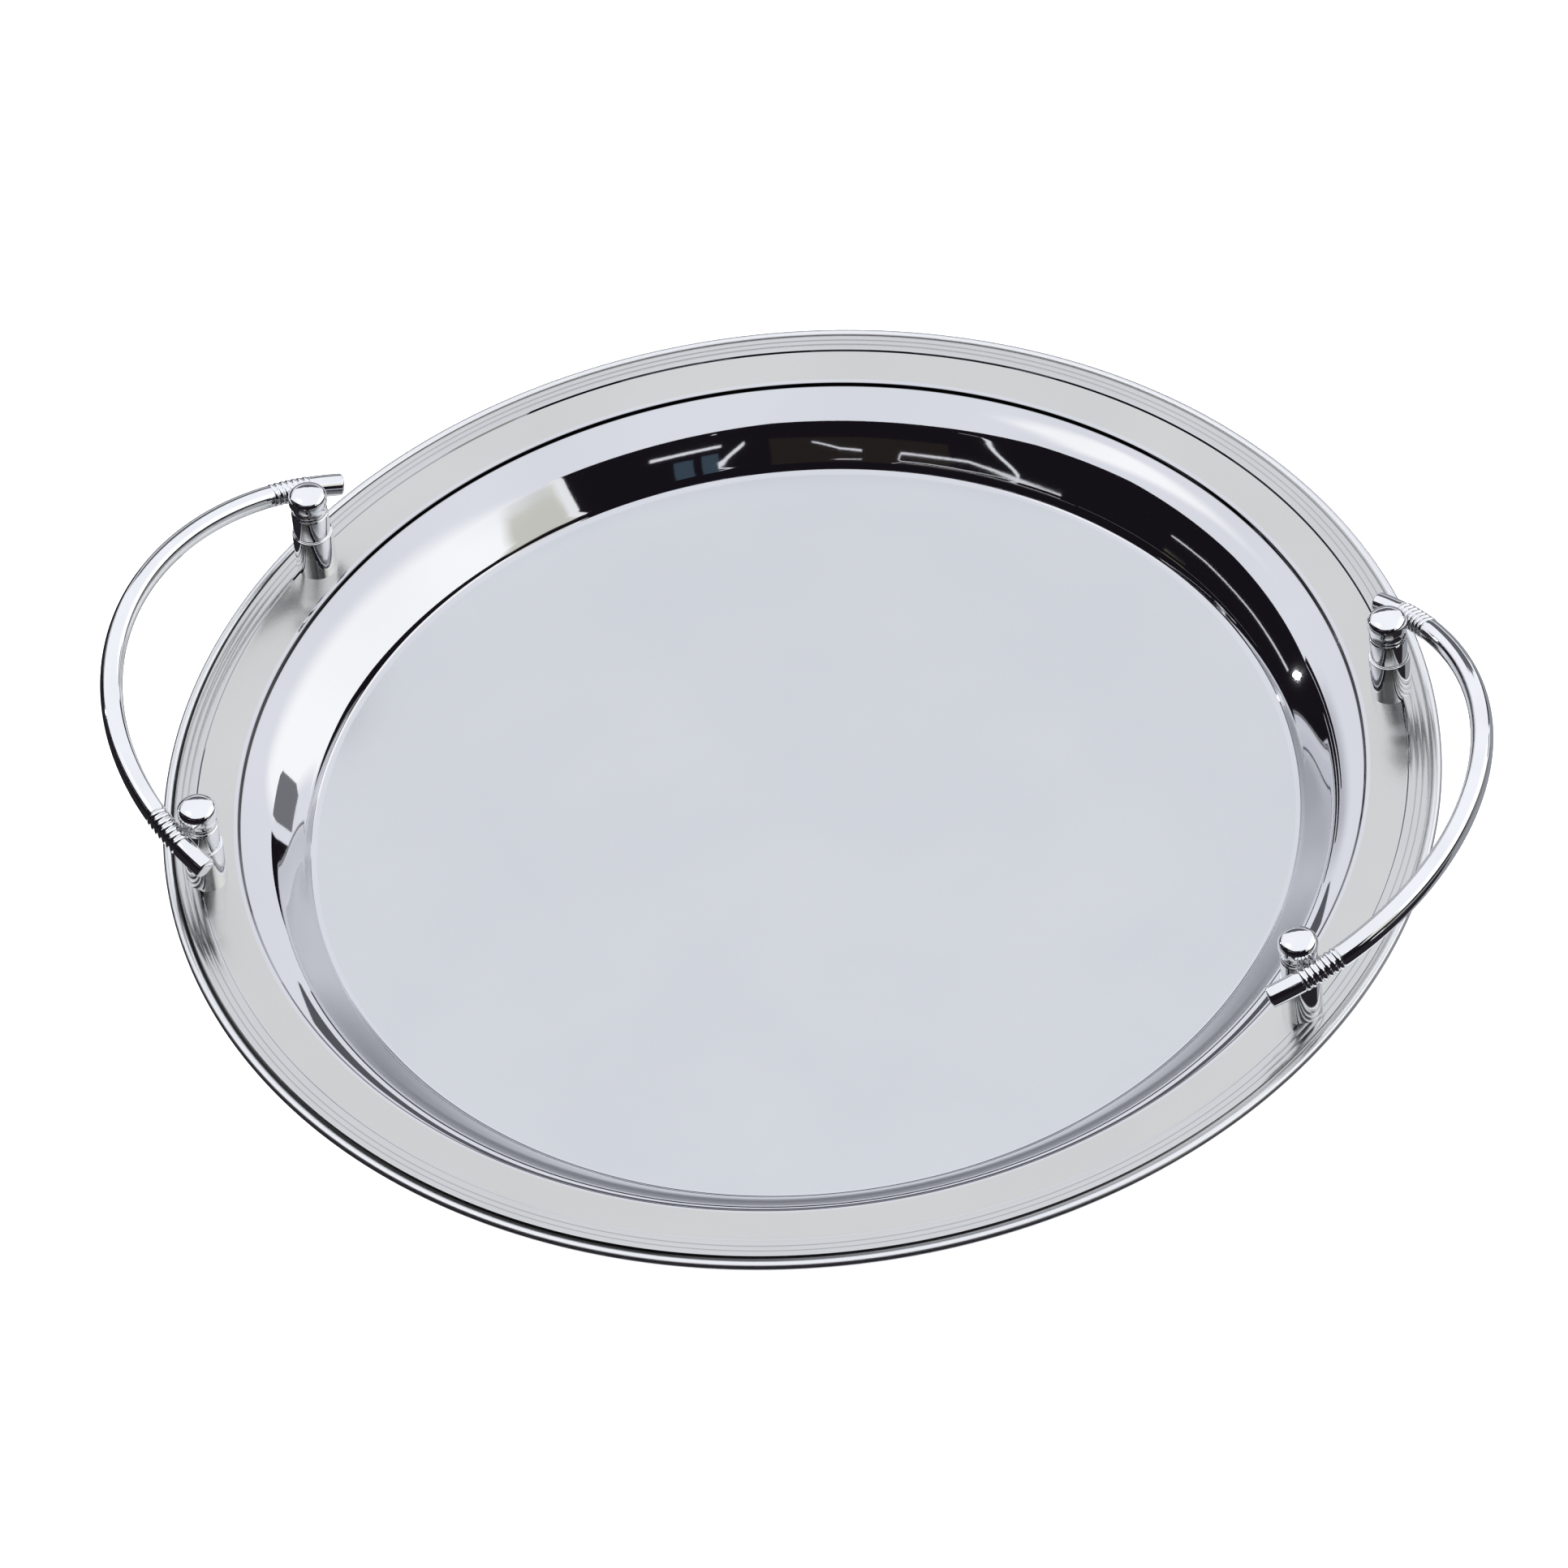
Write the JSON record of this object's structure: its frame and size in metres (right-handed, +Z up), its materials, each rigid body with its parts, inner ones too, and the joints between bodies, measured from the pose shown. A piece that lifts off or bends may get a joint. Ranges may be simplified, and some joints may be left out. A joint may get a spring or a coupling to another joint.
{
  "type": "serving tray",
  "caption": "Round dished steel serving tray with a stepped rim and a raised arched bar handle on each side, held by domed posts.",
  "frame": {"origin": "centre of the flat underside, on the surface the tray stands on", "axes": "+Z up through the middle of the tray; +X towards the right-hand handle; +Y towards the back"},
  "size_m": [0.4392, 0.4, 0.061],
  "materials": {
    "polished_steel": "polished",
    "fastener_steel": "satin"
  },
  "bodies": {
    "root": {"tray_body": "polished_steel", "handle_bar_left": "polished_steel", "handle_bar_right": "polished_steel", "ribbed_ferrule_left_front": "polished_steel", "ribbed_ferrule_left_back": "polished_steel", "ribbed_ferrule_right_front": "polished_steel", "ribbed_ferrule_right_back": "polished_steel", "handle_tip_left_front": "polished_steel", "handle_tip_left_back": "polished_steel", "handle_tip_right_front": "polished_steel", "handle_tip_right_back": "polished_steel", "post_sleeve_left_front": "polished_steel", "post_sleeve_left_back": "polished_steel", "post_sleeve_right_front": "polished_steel", "post_sleeve_right_back": "polished_steel", "post_collar_left_front": "polished_steel", "post_collar_left_back": "polished_steel", "post_collar_right_front": "polished_steel", "post_collar_right_back": "polished_steel", "domed_cap_left_front": "polished_steel", "domed_cap_left_back": "polished_steel", "domed_cap_right_front": "polished_steel", "domed_cap_right_back": "polished_steel", "post_stud_left_front": "fastener_steel", "post_stud_left_back": "fastener_steel", "post_stud_right_front": "fastener_steel", "post_stud_right_back": "fastener_steel", "rim_washer_left_front": "fastener_steel", "rim_washer_left_back": "fastener_steel", "rim_washer_right_front": "fastener_steel", "rim_washer_right_back": "fastener_steel", "hex_nut_left_front": "fastener_steel", "hex_nut_left_back": "fastener_steel", "hex_nut_right_front": "fastener_steel", "hex_nut_right_back": "fastener_steel", "handle_dowel_left_front": "fastener_steel", "handle_dowel_left_back": "fastener_steel", "handle_dowel_right_front": "fastener_steel", "handle_dowel_right_back": "fastener_steel"}
  },
  "joints": []
}
